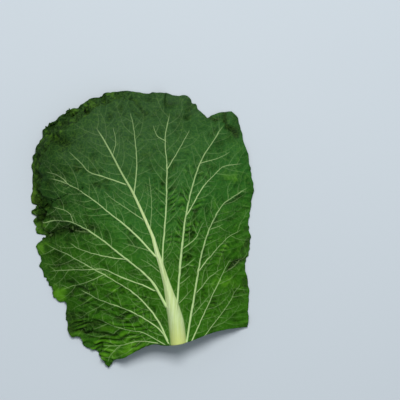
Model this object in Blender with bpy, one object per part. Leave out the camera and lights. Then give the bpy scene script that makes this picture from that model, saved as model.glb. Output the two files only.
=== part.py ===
"""One leaf of a napa cabbage, trimmed at its base and lying on a table with its outer side up.

The blade rests on its wavy edge like a low dome, and the cut end of the rib stands clear of the
table on the arch between them. Plan places are first worked out from the middle of the rib's cut
end, +X to the leaf's right and +Y towards its tip. The finished leaf is then moved so that the
origin is under the middle of its box, at the table.
"""

import bmesh
import bpy
import numpy as np
from mathutils import Vector, noise

# Sizes, in metres
BLADE_WIDTH = 0.223
BLADE_LENGTH = 0.277
BLADE_THICKNESS = 0.0008
RIB_WIDTH = 0.025  # at the cut end, across its sloping sides
RIB_THICKNESS = 0.0085
RIB_TIP_WIDTH = 0.0085
RIB_TIP_THICKNESS = 0.0020
RIB_STOUT_LENGTH = 0.125  # how far the rib takes to slim down from its cut end
RIB_LENGTH = 0.250
VEIN_WIDTH = 0.0075
VEIN_HEIGHT = 0.0010
CROWN_HEIGHT = 0.036
SHOULDER = 0.072  # how far in from the edge the blade goes on rising
STEEP_SHOULDER = 0.025  # the same at the upper left, where the edge turns down
STEEP_REACH = 0.120  # how far from there the shoulder eases
ARCH_REACH = 0.100  # how far from the cut end the crown is lowered
RUFFLE_HEIGHT = 0.0080
RUFFLE_REACH = 0.045  # how far in from the edge the ruffles run
WRINKLE_HEIGHT = 0.0016
WRINKLE_LENGTH = 0.080
WRINKLE_START = 0.030  # how far from the cut end the wrinkles start
TABLE_EASING = 0.0015  # how softly the blade meets the table

ARCH_DROP = 0.30  # the share of the crown's height that is lost at the cut end
RUFFLE_TURN = 0.20  # the turn about the blade's middle that a ruffle takes, in radians
WRINKLE_TURN = 0.11  # the turn about the rib's base that a wrinkle takes, in radians
VEIN_TAPER = 0.6  # the share of a vein's height that is lost at its tip
ROUND_SHOULDER = 1.3  # how gently the shoulder sets off from the edge
STRAIGHT_SHOULDER = 0.8  # the same where the edge turns down
RUFFLE_SEED = 3.7
WRINKLE_SEED = 1.3

# The grid that becomes the blade
CELLS_ACROSS = 40
CELLS_ALONG = 56
RIB_CROWDING = 0.055  # how much closer the columns lie along the rib
EDGE_SPACING = 0.002  # between the places that stand for the edge

# Places as shares of the blade's width and length: its middle, and its steepest shoulder
MIDDLE = (-0.152, 0.419)
STEEP_MIDDLE = (-0.560, 0.720)

# The edge's four stretches
CUT = (
    (-0.315, -0.085), (-0.290, -0.060), (-0.240, -0.050), (-0.165, -0.015), (-0.110, 0.000),
    (-0.055, -0.005), (0.000, 0.000), (0.050, 0.010), (0.130, 0.035), (0.205, 0.050),
    (0.310, 0.060),
)
LEFT_EDGE = (
    (-0.315, -0.085), (-0.350, -0.065), (-0.375, -0.020), (-0.430, -0.005), (-0.460, 0.025),
    (-0.485, 0.015), (-0.500, 0.065), (-0.510, 0.140), (-0.575, 0.175), (-0.590, 0.215),
    (-0.625, 0.265), (-0.635, 0.320), (-0.640, 0.360), (-0.600, 0.390), (-0.645, 0.420),
    (-0.660, 0.460), (-0.640, 0.500), (-0.665, 0.530), (-0.665, 0.605), (-0.650, 0.675),
    (-0.615, 0.750), (-0.570, 0.800), (-0.515, 0.840),
)
TOP_EDGE = (
    (-0.515, 0.840), (-0.465, 0.860), (-0.410, 0.885), (-0.345, 0.900), (-0.220, 0.915),
    (-0.090, 0.910), (0.040, 0.895), (0.090, 0.855), (0.120, 0.820), (0.150, 0.840),
    (0.235, 0.840), (0.265, 0.815),
)
RIGHT_EDGE = (
    (0.310, 0.060), (0.310, 0.120), (0.315, 0.185), (0.305, 0.240), (0.285, 0.290),
    (0.325, 0.330), (0.325, 0.385), (0.305, 0.425), (0.325, 0.495), (0.335, 0.560),
    (0.325, 0.620), (0.310, 0.680), (0.285, 0.755), (0.265, 0.815),
)

# The midrib and the side veins, from root to tip
MIDRIB = (
    (0.000, -0.015), (-0.027, 0.145), (-0.078, 0.276), (-0.121, 0.401), (-0.198, 0.539),
    (-0.251, 0.614), (-0.336, 0.740), (-0.376, 0.790),
)
SIDE_VEINS = (
    ((-0.070, 0.303), (-0.056, 0.469), (-0.052, 0.628), (-0.060, 0.733), (-0.040, 0.830)),
    ((0.000, 0.151), (0.013, 0.332), (0.043, 0.505), (0.094, 0.650), (0.170, 0.753)),
    ((0.043, 0.022), (0.067, 0.173), (0.103, 0.332), (0.143, 0.428), (0.309, 0.567)),
    ((0.094, 0.256), (0.215, 0.379), (0.273, 0.408)),
    ((0.067, 0.022), (0.143, 0.151), (0.197, 0.227)),
    ((-0.112, 0.325), (-0.198, 0.401), (-0.300, 0.469), (-0.387, 0.524), (-0.481, 0.574)),
    ((-0.198, 0.539), (-0.184, 0.643), (-0.198, 0.766), (-0.215, 0.822)),
    ((-0.240, 0.573), (-0.387, 0.618), (-0.486, 0.691)),
    ((-0.056, 0.148), (-0.112, 0.220), (-0.233, 0.310), (-0.464, 0.438), (-0.600, 0.440)),
    ((-0.052, 0.048), (-0.148, 0.148), (-0.233, 0.214), (-0.369, 0.269), (-0.575, 0.352)),
    ((-0.112, 0.193), (-0.233, 0.235), (-0.369, 0.269), (-0.550, 0.264)),
    ((-0.045, 0.007), (-0.112, 0.069), (-0.233, 0.124), (-0.430, 0.188)),
)


def eased(value, low, high):
    """0 below low, 1 above high and a smooth rise between them."""
    t = np.clip((value - low) / (high - low), 0, 1)
    return t * t * (3 - 2 * t)


def in_plan(shares):
    """Plan places given as shares of the blade's width and length."""
    return np.array(shares) * (BLADE_WIDTH, BLADE_LENGTH)


def smooth_noise(x, y, z):
    """Smooth noise from about -1 to 1 at each place."""
    return 2 * np.array([noise.noise(Vector(place)) for place in zip(x, y, z)])


def smooth_line(shares, steps=8):
    """Places along a smooth curve through points, with so many steps between each two."""
    points = in_plan(shares)
    slopes = np.gradient(points, axis=0)
    at = np.linspace(0, len(points) - 1, steps * (len(points) - 1) + 1)
    i = np.minimum(at.astype(int), len(points) - 2)
    t = (at - i)[:, None]
    line = points[i] * (1 + 2 * t) * (1 - t) ** 2 + points[i + 1] * t * t * (3 - 2 * t)
    return line + t * (1 - t) * (slopes[i] * (1 - t) - slopes[i + 1] * t)


def along_line(line, share):
    """The places at shares of a line's length."""
    passed = np.concatenate(([0], np.cumsum(np.hypot(*np.diff(line, axis=0).T))))
    x, y = (np.interp(share * passed[-1], passed, line[:, axis]) for axis in (0, 1))
    return np.column_stack((x, y))


def nearest_on(line, plan):
    """Each plan place's distance from a line, and how far along the line that is, in metres."""
    away = np.full(len(plan), np.inf)
    along = np.zeros(len(plan))
    before = 0.0
    for start, step in zip(line, np.diff(line, axis=0)):
        length = np.hypot(*step)
        t = np.clip((plan - start) @ step / length**2, 0, 1)
        distance = np.hypot(*(plan - start - t[:, None] * step).T)
        nearer = distance < away
        away[nearer] = distance[nearer]
        along[nearer] = before + t[nearer] * length
        before += length
    return away, along


def plan_places(across, along):
    """The grid's places in plan, drawn out evenly to the four stretches of the edge."""
    crowded = across - RIB_CROWDING * np.sin(2 * np.pi * (across - 0.5))
    bottom = along_line(smooth_line(CUT), crowded)
    top = along_line(smooth_line(TOP_EDGE), across)
    left = along_line(smooth_line(LEFT_EDGE), along)
    right = along_line(smooth_line(RIGHT_EDGE), along)
    s, t = across[:, None], along[:, None]
    sides = (1 - t) * bottom + t * top + (1 - s) * left + s * right
    low_left, low_right = in_plan((CUT[0], CUT[-1]))
    top_left, top_right = in_plan((TOP_EDGE[0], TOP_EDGE[-1]))
    low_corners = (1 - s) * low_left + s * low_right
    top_corners = (1 - s) * top_left + s * top_right
    return sides - (1 - t) * low_corners - t * top_corners


def frilled_edge():
    """Evenly spaced places on the whole edge but for the cut, from lower left to lower right."""
    left, top, right = (smooth_line(side) for side in (LEFT_EDGE, TOP_EDGE, RIGHT_EDGE))
    edge = np.concatenate((left, top[1:], right[-2::-1]))
    length = np.hypot(*np.diff(edge, axis=0).T).sum()
    return along_line(edge, np.linspace(0, 1, round(length / EDGE_SPACING)))


def inward_distance(plan):
    """The distance in from the frilled edge, softened so that it has no creases mid-blade.

    Each edge place counts by the inverse fourth power of its distance. That gives the true
    distance beside a straight edge, and less where the edge lies all round.
    """
    weight = np.zeros(len(plan))
    for place in frilled_edge():
        weight += (((plan - place) ** 2).sum(axis=1) + EDGE_SPACING**2) ** -2
    distance = (2 / np.pi * EDGE_SPACING * weight) ** (-1 / 3) - EDGE_SPACING
    return np.maximum(distance, 0)


def dome_height(plan, inward):
    """The smooth dome: it rises from the edge over the shoulder, and is lower over the cut."""
    gentle = eased(np.hypot(*(plan - in_plan(STEEP_MIDDLE)).T), 0, STEEP_REACH)
    shoulder = STEEP_SHOULDER + (SHOULDER - STEEP_SHOULDER) * gentle
    roundness = STRAIGHT_SHOULDER + (ROUND_SHOULDER - STRAIGHT_SHOULDER) * gentle
    fall = 1 - np.minimum(inward / shoulder, 1)
    lowered = ARCH_DROP * (1 - eased(plan[:, 1], 0, ARCH_REACH))
    return CROWN_HEIGHT * (1 - fall**2) ** roundness * (1 - lowered)


def ruffle_height(plan, inward):
    """The waves of the edge, which run round the blade's middle and fade away inwards."""
    spoke = plan - in_plan(MIDDLE)
    x, y = spoke.T / np.hypot(*spoke.T) / RUFFLE_TURN
    waves = smooth_noise(x, y, np.full(len(plan), RUFFLE_SEED))
    return RUFFLE_HEIGHT * waves * (1 - eased(inward, 0, RUFFLE_REACH))


def wrinkle_height(plan, inward):
    """The wrinkles, which fan out from the rib's cut end over the middle of the blade."""
    turn = np.arctan2(plan[:, 1], plan[:, 0])
    seed = np.full(len(plan), WRINKLE_SEED)
    wrinkles = smooth_noise(turn / WRINKLE_TURN, inward / WRINKLE_LENGTH, seed)
    clear_of_base = eased(np.hypot(*plan.T), WRINKLE_START, 3 * WRINKLE_START)
    return WRINKLE_HEIGHT * wrinkles * clear_of_base * eased(inward, 0, RUFFLE_REACH)


def blade_height(plan):
    """The height of the leaf's inner side over the table, which it meets softly."""
    inward = inward_distance(plan)
    height = dome_height(plan, inward) + ruffle_height(plan, inward) + wrinkle_height(plan, inward)
    return (height + np.hypot(height, 2 * TABLE_EASING)) / 2


def ridge(away, half_width):
    """1 on the middle line of a rounded ridge, falling to 0 at half_width."""
    return np.clip(1 - (away / half_width) ** 2, 0, 1) ** 1.5


def leaf_thickness(plan):
    """The leaf's thickness: the blade, swollen along the side veins and the rib."""
    swelling = np.zeros(len(plan))
    for vein in SIDE_VEINS:
        away, along = nearest_on(smooth_line(vein), plan)
        taper = 1 - VEIN_TAPER * along / along.max()
        swelling = np.maximum(swelling, VEIN_HEIGHT * taper * ridge(away, VEIN_WIDTH / 2))
    away, along = nearest_on(smooth_line(MIDRIB), plan)
    stout = 1 - eased(along, 0, RIB_STOUT_LENGTH)
    width = RIB_TIP_WIDTH + (RIB_WIDTH - RIB_TIP_WIDTH) * stout
    height = RIB_TIP_THICKNESS + (RIB_THICKNESS - RIB_TIP_THICKNESS) * stout - BLADE_THICKNESS
    fading = 1 - eased(along, RIB_LENGTH / 2, RIB_LENGTH)
    rib = height * fading * ridge(away, width / 2)
    return BLADE_THICKNESS + np.maximum(swelling, rib)


def leaf_green():
    """The blade's dark green, with a soft waxy surface."""
    material = bpy.data.materials.new("leaf_green")
    material.use_nodes = True
    shader = material.node_tree.nodes["Principled BSDF"]
    shader.inputs["Base Color"].default_value = (0.045, 0.125, 0.022, 1)
    shader.inputs["Roughness"].default_value = 0.55
    shader.inputs["Metallic"].default_value = 0.0
    return material


def inner_side():
    """The leaf's inner side as a sheet, and the plan places of its vertices."""
    bm = bmesh.new()
    bmesh.ops.create_grid(bm, x_segments=CELLS_ACROSS, y_segments=CELLS_ALONG, size=0.5)
    across, along, _ = np.array([vert.co for vert in bm.verts]).T + 0.5
    plan = plan_places(across, along)
    for vert, (x, y), z in zip(bm.verts, plan, blade_height(plan)):
        vert.co = (x, y, z)
    mesh = bpy.data.meshes.new("leaf")
    bm.to_mesh(mesh)
    bm.free()
    return mesh, plan


def make_leaf():
    """The leaf as one solid: the inner side, thickened outwards into blade, veins and rib."""
    mesh, plan = inner_side()
    mesh.materials.append(leaf_green())
    mesh.shade_smooth()
    leaf = bpy.data.objects.new("leaf", mesh)
    bpy.context.scene.collection.objects.link(leaf)
    thickness = leaf_thickness(plan)
    group = leaf.vertex_groups.new(name="thickness")
    for index, share in enumerate(thickness / thickness.max()):
        group.add([index], share, "REPLACE")
    solid = leaf.modifiers.new("thickness", "SOLIDIFY")
    solid.thickness = thickness.max()
    solid.offset = 1.0
    solid.vertex_group = group.name
    return leaf


def stand_on_origin(obj):
    """Moves an object so that the origin is under the middle of its box, at its lowest point."""
    bpy.context.view_layer.update()
    shape = obj.evaluated_get(bpy.context.evaluated_depsgraph_get()).to_mesh()
    places = np.array([vert.co for vert in shape.vertices])
    low, high = places.min(axis=0), places.max(axis=0)
    obj.location = (-(low[0] + high[0]) / 2, -(low[1] + high[1]) / 2, -low[2])


def main():
    for old in list(bpy.data.objects):
        bpy.data.objects.remove(old)
    stand_on_origin(make_leaf())


main()
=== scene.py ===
import math
import random

import bmesh
import bpy
import numpy as np
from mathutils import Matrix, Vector, kdtree, noise


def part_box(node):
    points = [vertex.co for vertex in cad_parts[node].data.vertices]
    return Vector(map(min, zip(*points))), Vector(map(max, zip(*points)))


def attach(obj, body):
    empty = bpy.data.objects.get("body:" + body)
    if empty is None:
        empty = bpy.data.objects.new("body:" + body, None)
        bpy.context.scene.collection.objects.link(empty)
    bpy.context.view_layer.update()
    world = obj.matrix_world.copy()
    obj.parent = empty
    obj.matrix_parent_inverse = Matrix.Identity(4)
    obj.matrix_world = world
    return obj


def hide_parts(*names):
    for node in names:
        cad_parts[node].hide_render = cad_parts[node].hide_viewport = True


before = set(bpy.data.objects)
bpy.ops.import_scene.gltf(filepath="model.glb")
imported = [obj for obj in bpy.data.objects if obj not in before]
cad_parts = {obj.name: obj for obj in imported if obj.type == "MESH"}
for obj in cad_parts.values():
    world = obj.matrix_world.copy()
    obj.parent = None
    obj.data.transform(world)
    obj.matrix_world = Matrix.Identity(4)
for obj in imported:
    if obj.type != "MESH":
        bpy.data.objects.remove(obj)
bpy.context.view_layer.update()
cadLow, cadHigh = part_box("leaf")
print("frame loaded, the leaf's box is", [round(side * 1000) for side in cadHigh - cadLow], "mm")

# lengths in metres
leafShape = {
    "width": cadHigh.x - cadLow.x,
    "length": cadHigh.y - cadLow.y,
    "cellsAcross": 184,
    "cellsAlong": 256,
    "ribCrowding": 0.03,    # draws the cells towards the rib's cut end
    "blade": 0.0008,        # thickness in the middle
    "rim": 0.00045,         # and at the edge
    "rimReach": 0.03,       # over which it thins
    "ribHeight": 0.0077,
    "crown": 0.036,         # height of the dome
    "shoulder": 0.072,      # how far in from the edge the dome goes on rising
    "steepShoulder": 0.030,  # the same where the edge is steep
    "steepReach": 0.120,    # how far from there it has become gentle
    "roundness": (0.8, 1.3),  # of the shoulder where it is steep and where it is gentle
    "archDrop": 0.30,       # share of the height that the cut end lies lower
    "archReach": 0.100,
    "tableEasing": 0.0015,  # how softly the edge levels out on the table
    "edgeSpacing": 0.002,
    "turnWidth": 0.0080,    # how wide the band is that turns down at the steep edge
    # places as shares of width and length, from the middle of the rib's cut end
    "middle": (-0.152, 0.419),
    "turnMiddle": (-0.520, 0.820),
    "cut": (
        (-0.315, -0.085), (-0.290, -0.060), (-0.240, -0.050), (-0.165, -0.015), (-0.110, 0.000),
        (-0.055, -0.005), (0.000, 0.000), (0.050, 0.010), (0.130, 0.035), (0.205, 0.050),
        (0.310, 0.060),
    ),
    "left": (
        (-0.315, -0.085), (-0.341, -0.062), (-0.360, -0.043), (-0.377, -0.023), (-0.422, -0.010),
        (-0.434, 0.014), (-0.446, 0.024), (-0.477, 0.019), (-0.495, 0.040), (-0.502, 0.075),
        (-0.511, 0.101), (-0.505, 0.128), (-0.503, 0.146), (-0.529, 0.150), (-0.556, 0.164),
        (-0.570, 0.184), (-0.560, 0.200), (-0.585, 0.220), (-0.605, 0.249), (-0.621, 0.282),
        (-0.612, 0.305), (-0.618, 0.320), (-0.638, 0.332), (-0.643, 0.350), (-0.628, 0.364),
        (-0.604, 0.372), (-0.598, 0.382), (-0.600, 0.390), (-0.636, 0.397), (-0.641, 0.410),
        (-0.632, 0.424), (-0.650, 0.442), (-0.632, 0.458), (-0.660, 0.468), (-0.662, 0.480),
        (-0.636, 0.488), (-0.633, 0.502), (-0.660, 0.513), (-0.662, 0.542), (-0.655, 0.561),
        (-0.662, 0.621), (-0.659, 0.653), (-0.646, 0.693), (-0.630, 0.726), (-0.610, 0.755),
        (-0.608, 0.778), (-0.576, 0.789), (-0.552, 0.810), (-0.515, 0.832),
    ),
    "top": (
        (-0.515, 0.832), (-0.495, 0.838), (-0.484, 0.850), (-0.457, 0.855), (-0.439, 0.863),
        (-0.413, 0.874), (-0.381, 0.889), (-0.356, 0.891), (-0.332, 0.907), (-0.300, 0.906),
        (-0.260, 0.914), (-0.226, 0.915), (-0.185, 0.909), (-0.121, 0.907), (-0.063, 0.907),
        (-0.013, 0.897), (0.027, 0.898), (0.051, 0.886), (0.057, 0.873), (0.078, 0.866),
        (0.090, 0.848), (0.123, 0.820), (0.135, 0.822), (0.174, 0.835), (0.206, 0.841),
        (0.238, 0.838), (0.265, 0.815),
    ),
    "right": (
        (0.310, 0.060), (0.310, 0.120), (0.315, 0.185), (0.306, 0.235), (0.297, 0.285),
        (0.314, 0.330), (0.322, 0.385), (0.312, 0.435), (0.325, 0.495), (0.335, 0.560),
        (0.325, 0.620), (0.310, 0.680), (0.285, 0.755), (0.265, 0.815),
    ),
}

# parts of the blade with a shape of their own: middle as shares, how far out they are full, and where
# they end, in metres
zones = {
    "steep": ((-0.560, 0.720), 0.06, 0.13),
    "lowLeft": ((-0.33, 0.03), 0.02, 0.08),
    "right": ((0.12, 0.38), 0.03, 0.10),
}

# height, turn round the blade's middle in radians, reach inwards
edgeShapes = {
    "ruffle": (0.0080, 0.20, 0.045),
    "frill": (0.0034, 0.085, 0.022),
    "crimp": (0.0016, 0.040, 0.011),
    "tooth": (0.0016, 0.036, 0.007),
}

# height, turn round the rib's base in radians, length
fanShapes = {
    "wrinkle": (0.0016, 0.11, 0.080),
    "crease": (0.0013, 0.036, 0.045),
}

# height and size of the unevenness of the blade
unevenness = {
    "pucker": (0.0013, 0.0026),    # how far the blade sinks, and how near its veins it stops
    "dimple": (0.0009, 0.013),
    "grain": (0.00032, 0.0042),
    "crumple": (0.0030, 0.008),
    "crest": (0.0045, 0.024),      # beside the band that turns down
    "patch": (0.5, 0.03),          # share by which the puckers differ from place to place
}

# small folds that run away from the main veins
rungShape = {
    "height": 0.0008,
    "spacing": 0.0056,             # along the vein
    "levelSpacing": 0.0054,        # where the folds lie across the leaf instead
    "levelTilt": 0.15,
    "slant": 0.7,                  # how far they lean towards the vein's tip
    "tip": 0.08,                   # they fade over this last share of the vein
    "gap": 0.0035,                 # near the line halfway to the next vein
    "foot": 0.0022,                # and near the vein itself
    "patch": 0.017,                # size of the patches where they show
}

# sharp valleys in the blade: depth and half width in metres, then the points as shares
creases = (
    (0.0040, 0.0042, ((-0.592, 0.392), (-0.500, 0.415), (-0.420, 0.412), (-0.330, 0.425))),
    (0.0026, 0.0030, ((-0.636, 0.470), (-0.534, 0.440), (-0.422, 0.437))),
    (0.0022, 0.0030, ((-0.640, 0.505), (-0.556, 0.495), (-0.480, 0.505))),
    (0.0045, 0.0036, ((-0.490, 0.222), (-0.440, 0.200), (-0.372, 0.170))),
    (0.0030, 0.0030, ((-0.470, 0.205), (-0.482, 0.170), (-0.507, 0.146))),
    (0.0022, 0.0024, ((-0.480, 0.079), (-0.399, 0.069), (-0.309, 0.083), (-0.175, 0.090))),
    (0.0022, 0.0024, ((-0.466, 0.043), (-0.377, 0.036), (-0.265, 0.051))),
    (0.0020, 0.0022, ((-0.430, 0.014), (-0.340, 0.022), (-0.230, 0.020))),
    (0.0018, 0.0022, ((-0.480, 0.112), (-0.390, 0.106), (-0.300, 0.118))),
    (0.0020, 0.0030, ((-0.585, 0.270), (-0.500, 0.290), (-0.420, 0.285))),
    (0.0035, 0.0050, ((-0.570, 0.748), (-0.516, 0.726), (-0.450, 0.712))),
    (0.0022, 0.0034, ((-0.457, 0.650), (-0.444, 0.605))),
    (0.0018, 0.0030, ((-0.380, 0.580), (-0.340, 0.560), (-0.290, 0.525))),
    (0.0016, 0.0028, ((-0.190, 0.865), (-0.165, 0.848), (-0.150, 0.815))),
    (0.0030, 0.0026, ((0.126, 0.822), (0.161, 0.812), (0.193, 0.826))),
    (0.0045, 0.0022, ((0.206, 0.835), (0.218, 0.787), (0.256, 0.769), (0.278, 0.726))),
    (0.0025, 0.0026, ((0.193, 0.498), (0.256, 0.523), (0.315, 0.556))),
    (0.0018, 0.0024, ((0.205, 0.440), (0.265, 0.458), (0.310, 0.480))),
    (0.0050, 0.0024, ((0.300, 0.310), (0.262, 0.292), (0.236, 0.278), (0.198, 0.256))),
    (0.0012, 0.0030, ((0.045, 0.330), (0.052, 0.400), (0.066, 0.465))),
)

# lobes that stand up: place as shares, half their size and their height in metres
lifts = (
    ((-0.527, 0.178), (0.013, 0.008), 0.0030),
    ((-0.240, -0.022), (0.028, 0.010), 0.0020),
    ((-0.320, 0.235), (0.016, 0.006), 0.0008),
    ((-0.610, 0.340), (0.008, 0.005), 0.0022),
    ((-0.600, 0.425), (0.010, 0.005), 0.0016),
    ((0.210, 0.215), (0.018, 0.007), 0.0012),
    ((0.245, 0.600), (0.014, 0.006), 0.0010),
)

# half widths from root to tip in metres, how pale root and tip are, then the points as shares
mainVeins = {
    "midrib": (
        (0.0078, 0.0074, 0.0062, 0.0048, 0.0037, 0.0031, 0.0026, 0.0022, 0.0018, 0.0014,
         0.0011, 0.0009, 0.0008, 0.0006, 0.0004), (1.00, 0.70), (
        (0.002, -0.018), (-0.011, 0.079), (-0.027, 0.137), (-0.038, 0.173), (-0.050, 0.213),
        (-0.063, 0.249), (-0.078, 0.289), (-0.093, 0.325), (-0.107, 0.365), (-0.122, 0.402),
        (-0.198, 0.539), (-0.251, 0.614), (-0.292, 0.677), (-0.336, 0.740), (-0.374, 0.787))),
    "tall": ((0.00113, 0.00083, 0.00061, 0.00048, 0.00037), (0.96, 0.62), (
        (-0.058, 0.232), (-0.069, 0.285), (-0.068, 0.345), (-0.057, 0.469), (-0.052, 0.628),
        (-0.061, 0.733), (-0.040, 0.838))),
    "rightTwigFirst": ((0.00037, 0.00025), (0.55, 0.25), (
        (0.002, 0.149), (0.030, 0.172), (0.058, 0.200))),
    "rightTwigSecond": ((0.00037, 0.00025), (0.50, 0.25), (
        (0.008, 0.220), (0.030, 0.232), (0.054, 0.249))),
    "rightTwigThird": ((0.00037, 0.00025), (0.50, 0.25), (
        (0.010, 0.275), (0.042, 0.288), (0.074, 0.310))),
    "rightTwigFourth": ((0.00038, 0.00028), (0.58, 0.30), (
        (0.018, 0.345), (0.073, 0.379), (0.092, 0.414), (0.112, 0.441))),
    "lowRightTwigMiddle": ((0.00040, 0.00028), (0.60, 0.30), (
        (0.078, 0.186), (0.110, 0.215), (0.143, 0.246), (0.196, 0.274))),
    "lowRightTwigLow": ((0.00035, 0.00025), (0.42, 0.20), (
        (0.058, 0.102), (0.090, 0.130), (0.125, 0.163), (0.152, 0.190))),
    "lowRightTwigHigh": ((0.00035, 0.00025), (0.45, 0.22), (
        (0.142, 0.413), (0.172, 0.422), (0.202, 0.434))),
    "ribTwigLeft": ((0.00038, 0.00025), (0.50, 0.25), (
        (-0.090, 0.265), (-0.125, 0.288), (-0.170, 0.308))),
    "upperLeftTwig": ((0.00037, 0.00025), (0.42, 0.20), (
        (-0.118, 0.333), (-0.160, 0.345), (-0.204, 0.354), (-0.253, 0.367))),
    "tallRightFork": ((0.00040, 0.00030), (0.72, 0.47), (
        (-0.052, 0.628), (0.000, 0.697), (0.049, 0.773))),
    "tallLeftFork": ((0.00034, 0.00025), (0.63, 0.38), (
        (-0.061, 0.729), (-0.099, 0.753), (-0.112, 0.787))),
    "right": ((0.00103, 0.00037), (0.95, 0.62), (
        (-0.009, 0.123), (0.012, 0.332), (0.042, 0.505), (0.094, 0.650), (0.170, 0.753),
        (0.206, 0.794))),
    "rightFork": ((0.00050, 0.00030), (0.85, 0.55), (
        (0.037, 0.466), (0.067, 0.508), (0.110, 0.568), (0.179, 0.626), (0.206, 0.640),
        (0.291, 0.652))),
    "rightTwig": ((0.00034, 0.00025), (0.63, 0.38), (
        (0.094, 0.650), (0.179, 0.670), (0.229, 0.693))),
    "lowRight": ((0.00097, 0.00037), (0.95, 0.62), (
        (0.034, 0.000), (0.058, 0.123), (0.102, 0.332), (0.148, 0.437), (0.200, 0.505),
        (0.314, 0.567))),
    "lowRightFork": ((0.00045, 0.00030), (0.77, 0.52), (
        (0.090, 0.267), (0.148, 0.325), (0.214, 0.380), (0.283, 0.412))),
    "baseRight": ((0.00057, 0.00030), (0.92, 0.47), (
        (0.058, 0.011), (0.111, 0.110), (0.196, 0.256), (0.238, 0.310))),
    "cutRight": ((0.00040, 0.00025), (0.72, 0.42), (
        (0.108, 0.022), (0.148, 0.065), (0.214, 0.137), (0.274, 0.217))),
    "upperLeft": ((0.00091, 0.00065, 0.00045, 0.00030), (0.95, 0.62), (
        (-0.103, 0.318), (-0.198, 0.401), (-0.300, 0.469), (-0.387, 0.525), (-0.481, 0.574),
        (-0.583, 0.599))),
    "upperLeftFork": ((0.00034, 0.00025), (0.58, 0.38), (
        (-0.481, 0.574), (-0.534, 0.606), (-0.587, 0.621))),
    "midribLeft": ((0.00063, 0.00030), (0.65, 0.40), (
        (-0.235, 0.574), (-0.327, 0.601), (-0.391, 0.617), (-0.430, 0.650), (-0.486, 0.693))),
    "midribUp": ((0.00063, 0.00030), (0.65, 0.35), (
        (-0.197, 0.538), (-0.185, 0.643), (-0.198, 0.766), (-0.220, 0.838))),
    "midribTwig": ((0.00042, 0.00025), (0.55, 0.30), (
        (-0.158, 0.449), (-0.284, 0.518), (-0.332, 0.552))),
    "tipTwig": ((0.00029, 0.00025), (0.58, 0.38), (
        (-0.292, 0.677), (-0.278, 0.726), (-0.291, 0.780))),
    "innerTwig": ((0.00029, 0.00025), (0.53, 0.38), (
        (-0.126, 0.408), (-0.119, 0.505), (-0.130, 0.606))),
    "left": ((0.00144, 0.00083, 0.00054, 0.00030), (0.97, 0.62), (
        (-0.054, 0.137), (-0.112, 0.220), (-0.164, 0.264), (-0.233, 0.310), (-0.345, 0.379),
        (-0.464, 0.437), (-0.547, 0.444), (-0.632, 0.437))),
    "leftFork": ((0.00034, 0.00025), (0.63, 0.43), (
        (-0.464, 0.437), (-0.486, 0.473), (-0.561, 0.495))),
    "leftBranch": ((0.00051, 0.00030), (0.82, 0.47), (
        (-0.233, 0.307), (-0.309, 0.314), (-0.430, 0.339), (-0.489, 0.365))),
    "lowLeft": ((0.00080, 0.00030), (0.95, 0.62), (
        (-0.049, 0.014), (-0.090, 0.083), (-0.148, 0.144), (-0.229, 0.204), (-0.370, 0.267),
        (-0.490, 0.321), (-0.587, 0.354))),
    "lowLeftBranch": ((0.00057, 0.00030), (0.92, 0.52), (
        (-0.108, 0.195), (-0.170, 0.217), (-0.233, 0.235), (-0.327, 0.269), (-0.370, 0.269),
        (-0.466, 0.267), (-0.587, 0.260))),
    "lowLeftTwig": ((0.00034, 0.00025), (0.58, 0.43), (
        (-0.327, 0.251), (-0.404, 0.224), (-0.516, 0.199))),
    "baseLeft": ((0.00069, 0.00030), (0.90, 0.62), (
        (-0.045, 0.004), (-0.087, 0.055), (-0.198, 0.114), (-0.345, 0.159), (-0.444, 0.195))),
    "cutLeft": ((0.00040, 0.00025), (0.77, 0.47), (
        (-0.063, 0.000), (-0.117, 0.025), (-0.166, 0.043), (-0.265, 0.058), (-0.363, 0.094))),
    "tipLobe": ((0.00040, 0.00025), (0.77, 0.52), (
        (-0.094, 0.004), (-0.175, 0.011), (-0.260, -0.007), (-0.336, -0.007))),
    "tipLobeFork": ((0.00026, 0.00025), (0.53, 0.43), (
        (-0.260, -0.007), (-0.300, -0.040), (-0.318, -0.069))),
}

tipFade = 0.60                # the share of their tips' paleness that the main veins keep

smallVeins = {
    "seed": 11,
    "spacing": 0.0105,        # between the branches of a vein
    "halfWidths": (0.00036, 0.00022),
    "paleness": (0.20, 0.07),
    "turn": 56,               # degrees away from the parent vein
    "turnSpread": 10,
    "bend": 0.035,            # radians that it turns back at each step
    "wander": 0.09,
    "step": 0.0015,
    "length": 0.034,          # of a branch, unless it meets another vein before
    "shortest": 0.004,
    "lengthRange": (0.7, 1.3),  # shares of that length, by chance
    "first": (0.5, 1.0),      # where the first branch leaves, as shares of the spacing
    "next": (0.35, 0.75),     # and how far on the next one does, on the other side
    "last": 0.4,              # no branch nearer to the tip than this share
    "twigSpacing": 0.8,       # the branches' own branches, as shares of the sizes above
    "twigShrink": 0.6,
    "upperFade": 0.5,         # how much fainter they are on the upper part of the leaf
}
veinChannels = 8
channelsApart = 0.0085        # veins nearer than this get different channels

# how far apart the places on a line are that distances are measured to
sampling = {
    "map": 0.0005,
    "spots": 0.003,
    "fields": 0.0004,
    "mainFields": 0.001,
    "creases": 0.0008,
}


# a smooth step from 0 at low to 1 at high
def eased(value, low, high):
    t = np.clip((value - low) / (high - low), 0, 1)
    return t * t * (3 - 2 * t)


def inPlan(shares):
    return np.array(shares) * (leafShape["width"], leafShape["length"])


def distanceTo(shares, plan):
    return np.hypot(*(plan - inPlan(shares)).T)


# 1 in the middle of a zone, fading to 0 around it
def inZone(name, plan):
    middle, full, reach = zones[name]
    return 1 - eased(distanceTo(middle, plan), full, reach)


def smoothNoise(x, y, z):
    return 2 * np.array([noise.noise(Vector(place)) for place in np.broadcast(x, y, z)])


def planNoise(plan, size, seed):
    x, y = (plan / size).T
    return smoothNoise(x, y, seed)


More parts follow.
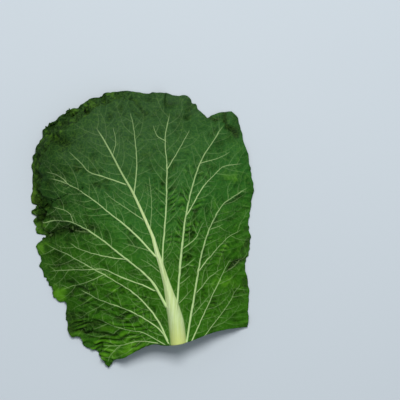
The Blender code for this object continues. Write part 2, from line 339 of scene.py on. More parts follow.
# 1 on a line, falling off to 0 over about a width
def bell(away, width):
    return np.exp(-((away / width) ** 2))


# a smooth curve through a few points
def smoothLine(shares, steps=8):
    points = inPlan(shares)
    slopes = np.gradient(points, axis=0)
    at = np.linspace(0, len(points) - 1, steps * (len(points) - 1) + 1)
    i = np.minimum(at.astype(int), len(points) - 2)
    t = (at - i)[:, None]
    line = points[i] * (1 + 2 * t) * (1 - t) ** 2 + points[i + 1] * t * t * (3 - 2 * t)
    return line + t * (1 - t) * (slopes[i] * (1 - t) - slopes[i + 1] * t)


def lineLengths(line):
    return np.concatenate(([0], np.cumsum(np.hypot(*np.diff(line, axis=0).T))))


# places at shares of a line's length
def alongLine(line, share):
    passed = lineLengths(line)
    x, y = (np.interp(share * passed[-1], passed, line[:, axis]) for axis in (0, 1))
    return np.column_stack((x, y))


# how far plan places are from a line, and where along it they are nearest
def nearLine(places, plan):
    away = np.array([((plan - place) ** 2).sum(axis=1) for place in places])
    return np.sqrt(away.min(axis=0)), away.argmin(axis=0)


# the grid's places in the plan, between the leaf's four sides
def planPlaces(across, along):
    crowded = across - leafShape["ribCrowding"] * np.sin(2 * np.pi * (across - 0.5))
    bottom = alongLine(smoothLine(leafShape["cut"]), crowded)
    top = alongLine(smoothLine(leafShape["top"]), across)
    left = alongLine(smoothLine(leafShape["left"]), along)
    right = alongLine(smoothLine(leafShape["right"]), along)
    s, t = across[:, None], along[:, None]
    sides = (1 - t) * bottom + t * top + (1 - s) * left + s * right
    lowCorners = (1 - s) * bottom[across == 0][0] + s * bottom[across == 1][0]
    topCorners = (1 - s) * top[across == 0][0] + s * top[across == 1][0]
    return sides - (1 - t) * lowCorners - t * topCorners


# the leaf's edge without the cut end
def frilledEdge():
    left, top, right = (smoothLine(leafShape[side]) for side in ("left", "top", "right"))
    edge = np.concatenate((left, top[1:], right[-2::-1]))
    return alongLine(edge, np.linspace(0, 1, round(lineLengths(edge)[-1] / leafShape["edgeSpacing"])))


# how far in from the frilled edge, with no crease in the middle of the blade
def inwardDistance(plan):
    spacing = leafShape["edgeSpacing"]
    weight = np.zeros(len(plan))
    for place in frilledEdge():
        weight += (((plan - place) ** 2).sum(axis=1) + spacing**2) ** -2
    return np.maximum((2 / np.pi * spacing * weight) ** (-1 / 3) - spacing, 0)


# how wide the band that turns down is: twice as wide at its upper end
def turnWidth(plan):
    return leafShape["turnWidth"] * (1 + bell(distanceTo(leafShape["turnMiddle"], plan), 0.028))


def domeHeight(plan, inward):
    gentle = eased(distanceTo(zones["steep"][0], plan), 0, leafShape["steepReach"])
    shoulder = leafShape["steepShoulder"] + (leafShape["shoulder"] - leafShape["steepShoulder"]) * gentle
    straight, rounded = leafShape["roundness"]
    fall = 1 - np.minimum(inward / shoulder, 1)
    lowered = leafShape["archDrop"] * (1 - eased(plan[:, 1], 0, leafShape["archReach"]))
    profile = (1 - fall**2) ** (straight + (rounded - straight) * gentle)
    return leafShape["crown"] * profile * (1 - lowered)


# waves that run round the blade's middle and fade inwards
def edgeWaves(name, plan, inward, seed):
    height, turn, reach = edgeShapes[name]
    spoke = plan - inPlan(leafShape["middle"])
    x, y = spoke.T / np.hypot(*spoke.T) / turn
    return height * smoothNoise(x, y, seed) * (1 - eased(inward, 0, reach))


# folds that fan out from the rib's cut end
def fanFolds(name, plan, inward, seed):
    height, turn, length = fanShapes[name]
    fan = np.arctan2(plan[:, 1], plan[:, 0]) / turn
    return height * smoothNoise(fan, inward / length, seed)


# a line in the plan that narrows and fades from its root to its tip
class Vein:
    def __init__(self, line, halfWidths, paleness, rank):
        self.line = line
        self.halfWidths = halfWidths
        self.paleness = paleness
        self.rank = rank       # 0 for a main vein, 1 for its branches, 2 for theirs
        self.passed = lineLengths(line)
        self.length = self.passed[-1]

    def at(self, share):
        return alongLine(self.line, np.atleast_1d(share))[0]

    def heading(self, share):
        ahead = self.at(min(share + 0.02, 1)) - self.at(max(share - 0.02, 0))
        return math.atan2(ahead[1], ahead[0])

    # places every so often along the line, each with its direction and share of the length
    def samples(self, spacing):
        share = np.linspace(0, 1, max(2, round(self.length / spacing) + 1))
        places = alongLine(self.line, share)
        ahead = np.gradient(places, axis=0)
        return places, ahead / np.hypot(*ahead.T)[:, None], share

    # half width and paleness at shares of the length
    def size(self, share):
        stops = np.linspace(0, 1, len(self.halfWidths))
        if len(stops) > 2:
            stops = self.passed[np.linspace(0, len(self.passed) - 1, len(stops)).astype(int)] / self.length
        half = np.interp(share, stops, self.halfWidths)
        pale = self.paleness[0] + (self.paleness[1] - self.paleness[0]) * share
        return half, pale * (1 - eased(share, 0.93, 1.0))


# remembers on a 1 mm grid which vein passes where
class VeinMap:
    def __init__(self):
        self.cells = {}

    def cell(self, place):
        return round(place[0] * 1000), round(place[1] * 1000)

    def mark(self, vein, number):
        for place in vein.samples(sampling["map"])[0]:
            self.cells.setdefault(self.cell(place), number)

    def meetsOther(self, place, own):
        x, y = self.cell(place)
        found = (self.cells.get((x + i, y + j)) for i in (-1, 0, 1) for j in (-1, 0, 1))
        return any(number not in (None, own) for number in found)


# one small vein, which bends towards the leaf's edge until it meets another vein than its parent
def growBranch(start, heading, side, parentNumber, veinMap, inside, draw):
    place = np.array(start, float)
    line = [place.copy()]
    steps = int(smallVeins["length"] * draw.uniform(*smallVeins["lengthRange"]) / smallVeins["step"])
    spread, wander = smallVeins["turnSpread"], smallVeins["wander"]
    angle = heading + side * math.radians(smallVeins["turn"] + draw.uniform(-spread, spread))
    for count in range(steps):
        angle -= side * smallVeins["bend"] + draw.uniform(-wander, wander)
        place = place + smallVeins["step"] * np.array((math.cos(angle), math.sin(angle)))
        if not inside(place):
            break
        line.append(place.copy())
        if count > 2 and veinMap.meetsOther(place, parentNumber):
            break
    return np.array(line)


# branches on both sides of every vein of the rank before
def growSmallVeins(veins, inside, rank, spacing, shrink):
    draw = random.Random(smallVeins["seed"] + rank)
    veinMap = VeinMap()
    for number, vein in enumerate(veins):
        veinMap.mark(vein, number)
    halfWidths = tuple(half * shrink for half in smallVeins["halfWidths"])
    paleness = tuple(tone * shrink for tone in smallVeins["paleness"])
    grown = []
    for number, parent in enumerate(veins):
        if parent.rank != rank - 1:
            continue
        at = spacing * draw.uniform(*smallVeins["first"])
        side = draw.choice((-1, 1))
        while at < parent.length - spacing * smallVeins["last"]:
            share = at / parent.length
            line = growBranch(parent.at(share), parent.heading(share), side, number, veinMap, inside, draw)
            if len(line) * smallVeins["step"] > smallVeins["shortest"]:
                grown.append(Vein(line, halfWidths, paleness, rank))
                veinMap.mark(grown[-1], len(veins) + len(grown) - 1)
            at += spacing * draw.uniform(*smallVeins["next"])
            side = -side
    return veins + grown


def makeVeins():
    veins = []
    for halfWidths, (paleRoot, paleTip), points in mainVeins.values():
        veins.append(Vein(smoothLine(points), halfWidths, (paleRoot, paleTip * tipFade), 0))
    ring = np.concatenate((frilledEdge(), smoothLine(leafShape["cut"])[::-1]))
    nextPlace = np.roll(ring, -1, axis=0)

    # counts how often a line to the right crosses the leaf's outline
    def inside(place):
        crosses = (ring[:, 1] > place[1]) != (nextPlace[:, 1] > place[1])
        a, b = ring[crosses], nextPlace[crosses]
        at = a[:, 0] + (place[1] - a[:, 1]) * (b[:, 0] - a[:, 0]) / (b[:, 1] - a[:, 1])
        return (at > place[0]).sum() % 2 == 1

    spacing = smallVeins["spacing"]
    veins = growSmallVeins(veins, inside, 1, spacing, 1.0)
    return growSmallVeins(veins, inside, 2, spacing * smallVeins["twigSpacing"], smallVeins["twigShrink"])


# veins that come near each other go to different channels, so that each channel's lines stay apart
def shareOutChannels(veins):
    spots = [vein.samples(sampling["spots"])[0] for vein in veins]
    owners = [number for number, places in enumerate(spots) for _ in places]
    tree = kdtree.KDTree(len(owners))
    for index, place in enumerate(np.concatenate(spots)):
        tree.insert((*place, 0), index)
    tree.balance()
    chosen = []
    for number, places in enumerate(spots):
        nearest = {}
        for place in places:
            for _, index, away in tree.find_range((*place, 0), channelsApart):
                if owners[index] < number:
                    channel = chosen[owners[index]]
                    nearest[channel] = min(nearest.get(channel, channelsApart), away)
        free = [channel for channel in range(1, veinChannels) if channel not in nearest]
        if number == 0:
            chosen.append(0)
        elif free:
            chosen.append(free[number % len(free)])
        else:
            chosen.append(max(range(1, veinChannels), key=lambda channel: nearest[channel]))
    return chosen


# what each plan place needs to know about the nearest vein of one channel
def channelField(veins, plan):
    rows = []
    for vein in veins:
        places, ahead, share = vein.samples(sampling["fields"])
        half, pale = vein.size(share)
        rows.append(np.column_stack((places, ahead, half, pale, np.full(len(share), vein.rank))))
    rows = np.concatenate(rows)
    tree = kdtree.KDTree(len(rows))
    for index, row in enumerate(rows):
        tree.insert((row[0], row[1], 0), index)
    tree.balance()
    found = np.array([tree.find((x, y, 0))[1] for x, y in plan])
    x, y, aheadX, aheadY, half, pale, rank = rows[found].T
    dx, dy = plan[:, 0] - x, plan[:, 1] - y
    away = np.hypot(dx, dy)
    signed = np.copysign(away, aheadX * dy - aheadY * dx)
    return {"signed": signed, "away": away, "half": half, "pale": pale, "rank": rank}


# for each main vein: distance to it, length along it, signed distance beside it and share of its length
def mainFields(veins, plan):
    fields = []
    for vein in veins:
        if vein.rank:
            continue
        places, ahead, share = vein.samples(sampling["mainFields"])
        away, found = nearLine(places, plan)
        dx, dy = (plan - places[found]).T
        aheadX, aheadY = ahead[found].T
        beside = np.copysign(away, aheadX * dy - aheadY * dx)
        fields.append((away, share[found] * vein.length, beside, share[found]))
    return (np.array(part) for part in zip(*fields))


# small folds that run away from the main veins like rungs, or across the leaf where level is 1
def rungs(veins, plan, level):
    away, along, beside, share = mainFields(veins, plan)
    order = np.argsort(away, axis=0)[:2]
    nearest, second = np.take_along_axis(away, order, axis=0)
    along, beside, share = (np.take_along_axis(part, order, axis=0)[0] for part in (along, beside, share))
    along = along - rungShape["slant"] * nearest
    clear = eased(1 - share, 0, rungShape["tip"]) * eased(second - nearest, 0, rungShape["gap"])
    clear = (clear + (1 - clear) * level) * (1 - bell(nearest, rungShape["foot"]))
    crossing = along / rungShape["spacing"] + 0.6 * smoothNoise(along / 0.015, beside / 0.012, 2.0)
    x, y = plan.T
    parallel = (y - rungShape["levelTilt"] * x) / rungShape["levelSpacing"]
    parallel = parallel + 0.7 * smoothNoise(x / 0.022, y / 0.012, 5.0)
    wave = (1 - level) * np.sin(2 * np.pi * crossing) + level * np.sin(2 * np.pi * parallel)
    return wave, clear, nearest


def creaseDepth(plan):
    depth = np.zeros(len(plan))
    for deep, half, points in creases:
        line = smoothLine(points)
        places = alongLine(line, np.linspace(0, 1, round(lineLengths(line)[-1] / sampling["creases"])))
        away, found = nearLine(places, plan)
        share = found / (len(places) - 1)
        fade = eased(share, -0.25, 0.25) * (1 - eased(share, 0.6, 1.0))
        depth = np.maximum(depth, deep * fade * np.exp(-away / half))
    return depth


def liftHeight(plan):
    height = np.zeros(len(plan))
    for place, size, tall in lifts:
        x, y = ((plan - inPlan(place)) / size).T
        height += tall * np.exp(-(x**2 + y**2))
    return height


# the smooth dome with its ruffled edge: the mesh, and the plan, inward distance, height and normals
def makeSheet():
    bm = bmesh.new()
    bmesh.ops.create_grid(
        bm, x_segments=leafShape["cellsAcross"], y_segments=leafShape["cellsAlong"], size=0.5
    )
    across, along, _ = np.array([vert.co for vert in bm.verts]).T + 0.5
    across[np.abs(across) < 1e-6] = 0
    across[np.abs(across - 1) < 1e-6] = 1
    plan = planPlaces(across, along)
    inward = inwardDistance(plan)
    fromBase = np.hypot(*plan.T)

    # teeth along the edge, which stay in the plan and leave the cut end's middle and right straight
    spoke = plan - inPlan(leafShape["middle"])
    spoke /= np.hypot(*spoke.T)[:, None]
    clearOfCut = eased(plan[:, 1], 0.0, 0.03) + eased(-plan[:, 0], 0.04, 0.07)
    leftward = 1 - eased(plan[:, 0], -0.09, -0.04)
    teeth = edgeWaves("tooth", plan, inward, 4.4) * np.minimum(clearOfCut, 1) * (0.4 + 0.6 * leftward)
    teeth *= 1 - 0.5 * inZone("steep", plan)

    # the dome, its ruffles, which are calmer on the right, and the crest beside the band that turns down
    ruffle = edgeWaves("ruffle", plan, inward, 3.7) * (1 - 0.5 * eased(plan[:, 0], 0.02, 0.06))
    crest, reach = unevenness["crest"]
    width = turnWidth(plan)
    band = eased(inward, 0.001, width) - eased(inward, width, width + reach)
    height = domeHeight(plan, inward) + ruffle + crest * inZone("steep", plan) * band
    plan = plan + spoke * teeth[:, None]
    clearOfBase = eased(fromBase, 0.03, 0.09)
    height += fanFolds("wrinkle", plan, inward, 1.3) * clearOfBase * eased(inward, 0, 0.045)
    for vert, (x, y), z in zip(bm.verts, plan, height):
        vert.co = (x, y, z)
    bm.normal_update()
    normals = np.array([vert.normal for vert in bm.verts])
    return bm, plan, inward, fromBase, height, normals


# how far each place stands out of the smooth sheet, and what the materials need to know about it
def fineShape(plan, inward, fromBase, veins, fields):
    lowLeft, right = inZone("lowLeft", plan), inZone("right", plan)
    clearOfRib = eased(np.abs(fields[0]["signed"]), 0.004, 0.02)
    wave, folded, nearest = rungs(veins, plan, lowLeft)
    clearOfVeins = 1 - 0.75 * bell(nearest, 0.0026)
    width = turnWidth(plan)
    turnedDown = inZone("steep", plan) * (1 - eased(inward, 0.85 * width, 1.05 * width))

    # puckers between the veins, then dimples and grain
    deep, near = unevenness["pucker"]
    between = 1 - bell(np.min([field["away"] for field in fields], axis=0), near)
    differing, size = unevenness["patch"]
    patchy = 0.75 + differing * planNoise(plan, size, 5.1)
    fine = -deep * between * patchy * (1 + 0.6 * right + 0.4 * lowLeft)
    deep, size = unevenness["dimple"]
    fine += deep * (0.4 - 1.4 * np.abs(planNoise(plan, size, 7.7)))
    deep, size = unevenness["grain"]
    fine += deep * planNoise(plan, size, 1.7)

    # folds, creases and lobes
    folds = fanFolds("crease", plan, inward, 6.4) * eased(fromBase, 0.03, 0.08)
    fine += folds * (0.10 + lowLeft + 0.35 * right) * clearOfVeins
    patches = eased(planNoise(plan, rungShape["patch"], 12.5), -0.7, 0.7)
    folded *= clearOfRib * (0.25 + 0.75 * patches) * (1 + 0.5 * lowLeft)
    folded *= np.clip(0.35 + 0.65 * right + 0.75 * lowLeft, 0, 1)
    fine += rungShape["height"] * wave * folded
    creased = creaseDepth(plan) * clearOfVeins
    fine += liftHeight(plan) - creased
    deep, size = unevenness["crumple"]
    fine += deep * (0.4 - 1.5 * np.abs(planNoise(plan, size, 9.3))) * turnedDown * eased(inward, 0, 0.004)
    fine *= clearOfRib

    # the frilled edge, which shows little in the colours
    frills = edgeWaves("frill", plan, inward, 8.2) + edgeWaves("crimp", plan, inward, 2.9)
    frills *= clearOfRib * (1 - 0.45 * eased(plan[:, 0], 0.0, 0.05))
    # relief sets where the material paints shade in hollows and highlights on crests
    relief = fine + frills * (0.12 + 0.5 * turnedDown)
    fine += frills * (1 - 0.45 * turnedDown)
    crested = inZone("steep", plan) * (1 - eased(inward, 1.4 * width, 1.4 * width + 0.012))
    return fine, {
        "rung": wave * folded,
        "creased": creased / 0.0035,
        "crested": crested,
        "relief": np.clip(relief / 0.0020, -2, 2),
        "turnedDown": turnedDown,
        "inward": inward,
    }


def ridge(across):
    return np.clip(1 - across**2, 0, 1)


# thickness of the sheet, with the rib and the veins standing out of the outer side
def sheetThickness(inward, fields):
    rim, blade = leafShape["rim"], leafShape["blade"]
    swelling = np.zeros(len(inward))
    for number, field in enumerate(fields):
        half = field["half"]
        across = field["signed"] / half
        if number == 0:
            rise = leafShape["ribHeight"] * (half / half.max()) ** 0.9 * ridge(across) ** 0.75
        else:
            rise = (0.55 * half + 0.0001) * ridge(across / 1.5) ** 1.2
        swelling = np.maximum(swelling, rise)
    return rim + (blade - rim) * eased(inward, 0, leafShape["rimReach"]) + swelling


def put(mesh, name, values):
    attribute = mesh.attributes.new(name, "FLOAT", "POINT")
    attribute.data.foreach_set("value", np.asarray(values, np.float32))


# what the materials need to know about each channel's veins
def putVeins(mesh, plan, fields):
    upper = 1 - smallVeins["upperFade"] * eased(plan[:, 1], 0.13, 0.20)
    for number, field in enumerate(fields):
        nearby = 1 - eased(field["away"], 0.0028, 0.0042) if number > 0 else 1
        shown = field["pale"] * nearby * np.where(field["rank"] > 0, upper, 1)
        put(mesh, f"vein{number}", np.clip(field["signed"] / field["half"], -12, 12))
        put(mesh, f"pale{number}", shown)


# the sheet is thickened upwards, on its outer side, by its own amount at each vertex
def thicken(leaf, thickness):
    group = leaf.vertex_groups.new(name="thickness")
    for index, share in enumerate(thickness / thickness.max()):
        group.add([index], share, "REPLACE")
    solid = leaf.modifiers.new("thickness", "SOLIDIFY")
    solid.thickness = thickness.max()
    solid.offset = 1.0
    solid.vertex_group = group.name
    solid.material_offset = 1
    bpy.context.view_layer.update()
    shaped = leaf.evaluated_get(bpy.context.evaluated_depsgraph_get())
    mesh = bpy.data.meshes.new_from_object(shaped)
    leaf.modifiers.clear()
    leaf.vertex_groups.clear()
    leaf.data = mesh
    mesh.shade_smooth()


def makeLeaf():
    bm, plan, inward, fromBase, height, normals = makeSheet()
    veins = makeVeins()
    channels = shareOutChannels(veins)
    print("veins:", len(veins), "per channel:", [channels.count(i) for i in range(veinChannels)])
    fields = []
    for channel in range(veinChannels):
        own = [vein for vein, chosen in zip(veins, channels) if chosen == channel]
        fields.append(channelField(own, plan))
    fine, looks = fineShape(plan, inward, fromBase, veins, fields)
    places = np.column_stack((plan, height)) + normals * fine[:, None]
    easing = 2 * leafShape["tableEasing"]
    places[:, 2] = (places[:, 2] + np.hypot(places[:, 2], easing)) / 2    # nothing dips below the table
    for vert, place in zip(bm.verts, places):
        vert.co = place
    mesh = bpy.data.meshes.new("leafBlade")
    bm.to_mesh(mesh)
    bm.free()
    putVeins(mesh, plan, fields)
    for name, values in looks.items():
        put(mesh, name, values)
    leaf = bpy.data.objects.new("leafBlade", mesh)
    bpy.context.scene.collection.objects.link(leaf)
    thicken(leaf, sheetThickness(inward, fields))
    return leaf


# the finished leaf fills the frame's box
def fitToFrame(leaf):
    places = np.empty(len(leaf.data.vertices) * 3, np.float32)
    leaf.data.vertices.foreach_get("co", places)
    places = places.reshape(-1, 3)
    low, high = places.min(axis=0), places.max(axis=0)
    boxLow, boxHigh = np.array(cadLow), np.array(cadHigh)
    print("fit to the frame by", ((boxHigh - boxLow) / (high - low)).round(4))
    places = boxLow + (places - low) * (boxHigh - boxLow) / (high - low)
    leaf.data.vertices.foreach_set("co", places.ravel())
    leaf.data.update()


# one socket of a material's node tree, which can be added, multiplied and so on
class Wire:
    def __init__(self, board, socket):
        self.board = board
        self.socket = socket

    def maths(self, operation, *others):
        inputs = dict(enumerate((self, *others)))
        return self.board.add("ShaderNodeMath", {"operation": operation}, inputs)

    def __add__(self, other):
        return self.maths("ADD", other)

    def __sub__(self, other):
        return self.maths("SUBTRACT", other)

    def __rsub__(self, other):
        return self.board.add("ShaderNodeMath", {"operation": "SUBTRACT"}, {0: other, 1: self})

    def __mul__(self, other):
        return self.maths("MULTIPLY", other)

    def __abs__(self):
        return self.maths("ABSOLUTE")

    __radd__ = __add__
    __rmul__ = __mul__

    def most(self, other):
        return self.maths("MAXIMUM", other)

    # a smooth step from 0 at low to 1 at high
    def step(self, low, high):
        inputs = {"Value": self, "From Min": low, "From Max": high}
        return self.board.add("ShaderNodeMapRange", {"interpolation_type": "SMOOTHSTEP"}, inputs)


# a material and its node tree
class Board:
    def __init__(self, name):
        self.material = bpy.data.materials.new(name)
        self.material.use_nodes = True
        self.tree = self.material.node_tree
        self.shader = self.tree.nodes["Principled BSDF"]
        self.place = self.add("ShaderNodeTexCoord", output="Object")

    def add(self, kind, settings=None, inputs=None, output=0):
        node = self.tree.nodes.new(kind)
        for name, value in (settings or {}).items():
            setattr(node, name, value)
        for name, value in (inputs or {}).items():
            self.feed(node.inputs[name], value)
        return Wire(self, node.outputs[output])

    def feed(self, socket, value):
        if isinstance(value, Wire):
            self.tree.links.new(value.socket, socket)
        else:
            socket.default_value = value

    def attribute(self, name):
        return self.add("ShaderNodeAttribute", {"attribute_name": name}, output="Fac")

    def cloud(self, scale, detail=3.0, rough=0.55):
        inputs = {"Vector": self.place, "Scale": scale, "Detail": detail, "Roughness": rough}
        return self.add("ShaderNodeTexNoise", inputs=inputs)

    def mix(self, factor, first, second):
        settings = {"data_type": "RGBA"}
        return self.add("ShaderNodeMix", settings, {0: factor, 6: first, 7: second}, output=2)

    def finish(self, **sockets):
        for name, value in sockets.items():
            self.feed(self.shader.inputs[name], value)
        return self.material


# a colour as it looks on screen, 0 to 255
def tone(red, green, blue):
    parts = [value / 255 for value in (red, green, blue)]
    linear = [part / 12.92 if part <= 0.04045 else ((part + 0.055) / 1.055) ** 2.4 for part in parts]
    return (*linear, 1.0)


leafColours = {
    "middle": tone(38, 97, 31),
    "fresh": tone(42, 99, 4),        # low on the leaf
    # waxy bloom high on the leaf, with a painted sheen in its greyer tint
    "waxy": tone(43, 75, 40),        # high on the leaf
    "shade": tone(22, 54, 8),
    # painted shade for valleys, folds, creases and the band that turns down, also the dark grain specks
    "paintedShadeAndSpeck": tone(10, 34, 3),
    # painted sheen highlight on crests high on the leaf
    "sheenHighlight": tone(84, 120, 74),
    # painted highlight on crests low on the leaf
    "lit": tone(92, 154, 24),
    "halo": tone(110, 156, 58),
    "vein": tone(212, 241, 168),
    "rib": tone(204, 226, 150),
    "ribLight": tone(224, 243, 188),
    "ribCut": tone(210, 222, 130),
    "olive": tone(96, 116, 36),
    # painted highlight on the crumples of the band that turns down
    "crumple": tone(86, 128, 34),
    "inner": tone(58, 106, 34),
    "innerVein": tone(150, 186, 106),
}

leafSurface = {
    "roughness": 0.46,
    "specular": 0.10,
    "ior": 1.42,
    "bumpStrength": 0.8,
    "bumpDistance": 0.0008,
    "netScale": 260.0,
    "fineNetScale": 620.0,
    "netWobble": 0.003,
    "wobbleScale": 150.0,
    "streakScale": (900, 35, 60),
    "streakTurn": -0.16,
}


# pale lines along the veins, the beads that they stand out as, and where the rib is
def veinLines(board):
    lines = beads = rib = None
    for number in range(veinChannels):
        across = abs(board.attribute(f"vein{number}"))
        pale = board.attribute(f"pale{number}")
        line = (1 - across.step(0.70, 1.18)) * pale
        bead = (1 - across.step(0.0, 1.5)) * pale
        if number == 0:
            lines, beads, rib = line, bead, 1 - across.step(0.90, 1.06)
        else:
            lines, beads = lines.most(line), beads.most(bead)
    return lines, beads, rib


# the two finest nets of veins, too small to be shaped
def fineNets(board):
    noisy = board.add(
        "ShaderNodeTexNoise", inputs={"Vector": board.place, "Scale": leafSurface["wobbleScale"]}, output=1
    )
    wobble = board.add(
        "ShaderNodeVectorMath", {"operation": "MULTIPLY_ADD"},
        {0: noisy, 1: (leafSurface["netWobble"],) * 3, 2: board.place},
    )
    nets = []
    for scale, width in ((leafSurface["netScale"], 0.09), (leafSurface["fineNetScale"], 0.12)):
        inputs = {"Vector": wobble, "Scale": scale}
        cells = board.add("ShaderNodeTexVoronoi", {"feature": "DISTANCE_TO_EDGE"}, inputs)
        nets.append(1 - cells.step(0.0, width))
    return nets


# the rib has long streaks and is yellower at its cut end
def ribColour(board, y):
    inputs = {
        "Vector": board.place,
        "Rotation": (0, 0, leafSurface["streakTurn"]),
        "Scale": leafSurface["streakScale"],
    }
    stretched = board.add("ShaderNodeMapping", inputs=inputs)
    inputs = {"Vector": stretched, "Scale": 1.0, "Detail": 3.0}
    streaks = board.add("ShaderNodeTexNoise", inputs=inputs)
    colour = board.mix(streaks.step(0.35, 0.75), leafColours["rib"], leafColours["ribLight"])
    return board.mix(1 - y.step(-0.118, -0.085), colour, leafColours["ribCut"])


def leafMaterial(name, outer):
    board = Board(name)
    colours = leafColours
    x, y = (board.add("ShaderNodeSeparateXYZ", inputs={0: board.place}, output=axis) for axis in (0, 1))
    broad, blotchy, grainy = board.cloud(14), board.cloud(60), board.cloud(420, 4.0)
    lines, beads, rib = veinLines(board)
    netLine, fineLine = fineNets(board)
    relief, rung = board.attribute("relief"), board.attribute("rung")
    inward, turnedDown = board.attribute("inward"), board.attribute("turnedDown")

    # greens by place: fresher low down, greyer high up from waxy bloom and a painted sheen, darker on the
    # left
    high = (y - x * 0.35 + broad * 0.04).step(0.01, 0.16)
    low = 1 - (y - abs(x) * 0.5 + broad * 0.04).step(-0.06, 0.04)
    leftward = 1 - x.step(-0.10, -0.02)
    if outer:
        green = board.mix(low, colours["middle"], colours["fresh"])
        green = board.mix(high, green, colours["waxy"])
        green = board.mix(leftward * 0.55, green, colours["shade"])
    else:
        green = board.mix(high * 0.5, colours["inner"], colours["waxy"])
    green = board.mix(blotchy.step(0.50, 0.80) * 0.5, green, colours["shade"])

    # painted shade in valleys, folds and creases, and painted highlights on crests
    paintedHighlight = board.mix(high, colours["lit"], colours["sheenHighlight"])
    paintedHighlight = board.mix(turnedDown, paintedHighlight, colours["crumple"])
    green = board.mix((relief * -1.0).step(0.1, 1.5) * 0.75, green, colours["paintedShadeAndSpeck"])
    green = board.mix((rung * -1.0).step(0.05, 0.80) * 0.62, green, colours["paintedShadeAndSpeck"])
    green = board.mix(rung.step(0.10, 0.85) * 0.26, green, paintedHighlight)
    green = board.mix(board.attribute("creased").step(0.1, 1.0) * 0.75, green, colours["paintedShadeAndSpeck"])
    green = board.mix(relief.step(0.0, 1.2) * 0.65, green, paintedHighlight)

    # the band that turns down gets painted shade, painted highlights on its crumples and painted shade in
    # their valleys, and the rim low on the left is olive
    green = board.mix(turnedDown * 0.30, green, colours["paintedShadeAndSpeck"])
    crumpled = abs(board.cloud(115, 2.0) * 2.0 - 1.0)
    green = board.mix(crumpled.step(0.10, 0.50) * turnedDown * 0.55, green, colours["crumple"])
    green = board.mix((1 - crumpled.step(0.0, 0.13)) * turnedDown * 0.85, green, colours["paintedShadeAndSpeck"])
    rim = 1 - inward.step(0.0, 0.005)
    green = board.mix(rim * leftward * low * broad.step(0.45, 0.6) * 0.6, green, colours["olive"])

    # nets, haloes beside the veins and grain, then the veins and the rib
    green = board.mix(netLine * 0.14 + fineLine * 0.06, green, colours["halo"])
    green = board.mix(beads * 0.18, green, colours["halo"])
    green = board.mix(grainy.step(0.45, 0.8) * 0.14, green, colours["halo"])
    green = board.mix(grainy.step(0.5, 0.2) * 0.20, green, colours["paintedShadeAndSpeck"])
    strength, veinColour = (0.95, colours["vein"]) if outer else (0.7, colours["innerVein"])
    colour = board.mix(lines * strength, green, veinColour)
    colour = board.mix(rib * (1 - y.step(0.0, 0.06)), colour, ribColour(board, y))

    bumps = beads * 0.9 + rung * 0.5 + netLine * 0.12 + fineLine * 0.06 + grainy * 0.16 + blotchy * 0.3
    settings = {"Strength": leafSurface["bumpStrength"], "Distance": leafSurface["bumpDistance"]}
    bump = board.add("ShaderNodeBump", inputs={**settings, "Height": bumps})
    roughness = leafSurface["roughness"] + board.attribute("crested") * 0.32
    roughness = roughness + blotchy * 0.14 - high * 0.04 - rib * 0.04 + grainy * 0.08
    board.shader.inputs["IOR"].default_value = leafSurface["ior"]
    board.shader.inputs["Specular IOR Level"].default_value = leafSurface["specular"]
    return board.finish(**{"Base Color": colour, "Roughness": roughness, "Normal": bump})


# the thickened sheet's slots: 0 for the outer side, 1 for the inner side and the rim
def dressLeaf(leaf):
    for material in (leafMaterial("outerLeaf", True), leafMaterial("innerLeaf", False)):
        leaf.data.materials.append(material)


studio = {
    "floorSize": 6.0,
    "floorDrop": 0.0003,     # keeps the floor off the leaf's lowest places
    "floorTone": tone(208, 217, 225),
    "floorMottle": tone(205, 216, 226),
    "worldTone": (0.86, 0.93, 1.0, 1.0),
    "worldStrength": 0.33,
    "keyPlace": (0.10, 0.95, 2.10),
    "keyAim": (0.03, 0.02, 0.0),
    "keySize": 0.9,
    "keyPower": 38.0,
    "keyTone": (1.0, 0.99, 0.96),
    "cameraPlace": (0.0578, 0.0290, 2.40),
    "sensorWidth": 36,       # millimetres
    "frameWidth": 0.400,     # what the camera takes in, at the height of the leaf's shoulder
    "frameHeight": 0.010,
}


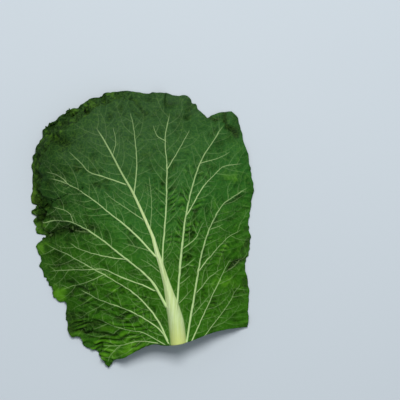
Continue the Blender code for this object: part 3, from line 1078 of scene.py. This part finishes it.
def makeFloor():
    bm = bmesh.new()
    bmesh.ops.create_grid(bm, x_segments=1, y_segments=1, size=studio["floorSize"] / 2)
    bmesh.ops.translate(bm, verts=bm.verts, vec=(0, 0, -studio["floorDrop"]))
    mesh = bpy.data.meshes.new("floor")
    bm.to_mesh(mesh)
    bm.free()
    floor = bpy.data.objects.new("floor", mesh)
    bpy.context.scene.collection.objects.link(floor)
    board = Board("paleFloor")
    mottle = board.add("ShaderNodeTexNoise", inputs={"Vector": board.place, "Scale": 9.0, "Detail": 4.0})
    colour = board.mix(mottle * 0.10, studio["floorTone"], studio["floorMottle"])
    mesh.materials.append(board.finish(**{"Base Color": colour, "Roughness": 0.7 + mottle * 0.1}))


def makeLights():
    world = bpy.data.worlds.new("softRoom")
    world.use_nodes = True
    back = world.node_tree.nodes["Background"]
    back.inputs["Color"].default_value = studio["worldTone"]
    back.inputs["Strength"].default_value = studio["worldStrength"]
    bpy.context.scene.world = world
    light = bpy.data.lights.new("key", "AREA")
    light.size = studio["keySize"]
    light.energy = studio["keyPower"]
    light.color = studio["keyTone"]
    key = bpy.data.objects.new("key", light)
    bpy.context.scene.collection.objects.link(key)
    key.location = studio["keyPlace"]
    towards = Vector(studio["keyAim"]) - key.location
    key.rotation_euler = towards.to_track_quat("-Z", "Y").to_euler()


# a new camera looks straight down
def makeCamera():
    camera = bpy.data.cameras.new("camera")
    eye = bpy.data.objects.new("camera", camera)
    bpy.context.scene.collection.objects.link(eye)
    eye.location = studio["cameraPlace"]
    away = studio["cameraPlace"][2] - studio["frameHeight"]
    camera.sensor_width = studio["sensorWidth"]
    camera.lens = studio["sensorWidth"] * away / studio["frameWidth"]
    camera.clip_start = 0.01
    bpy.context.scene.camera = eye
    bpy.context.scene.view_settings.view_transform = "Standard"


makeCamera()
print("camera placed")
leaf = makeLeaf()
fitToFrame(leaf)
dressLeaf(leaf)
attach(leaf, "root")
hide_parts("leaf")
print("leaf made, faces:", len(leaf.data.polygons))
makeFloor()
makeLights()
print("floor and lights made")
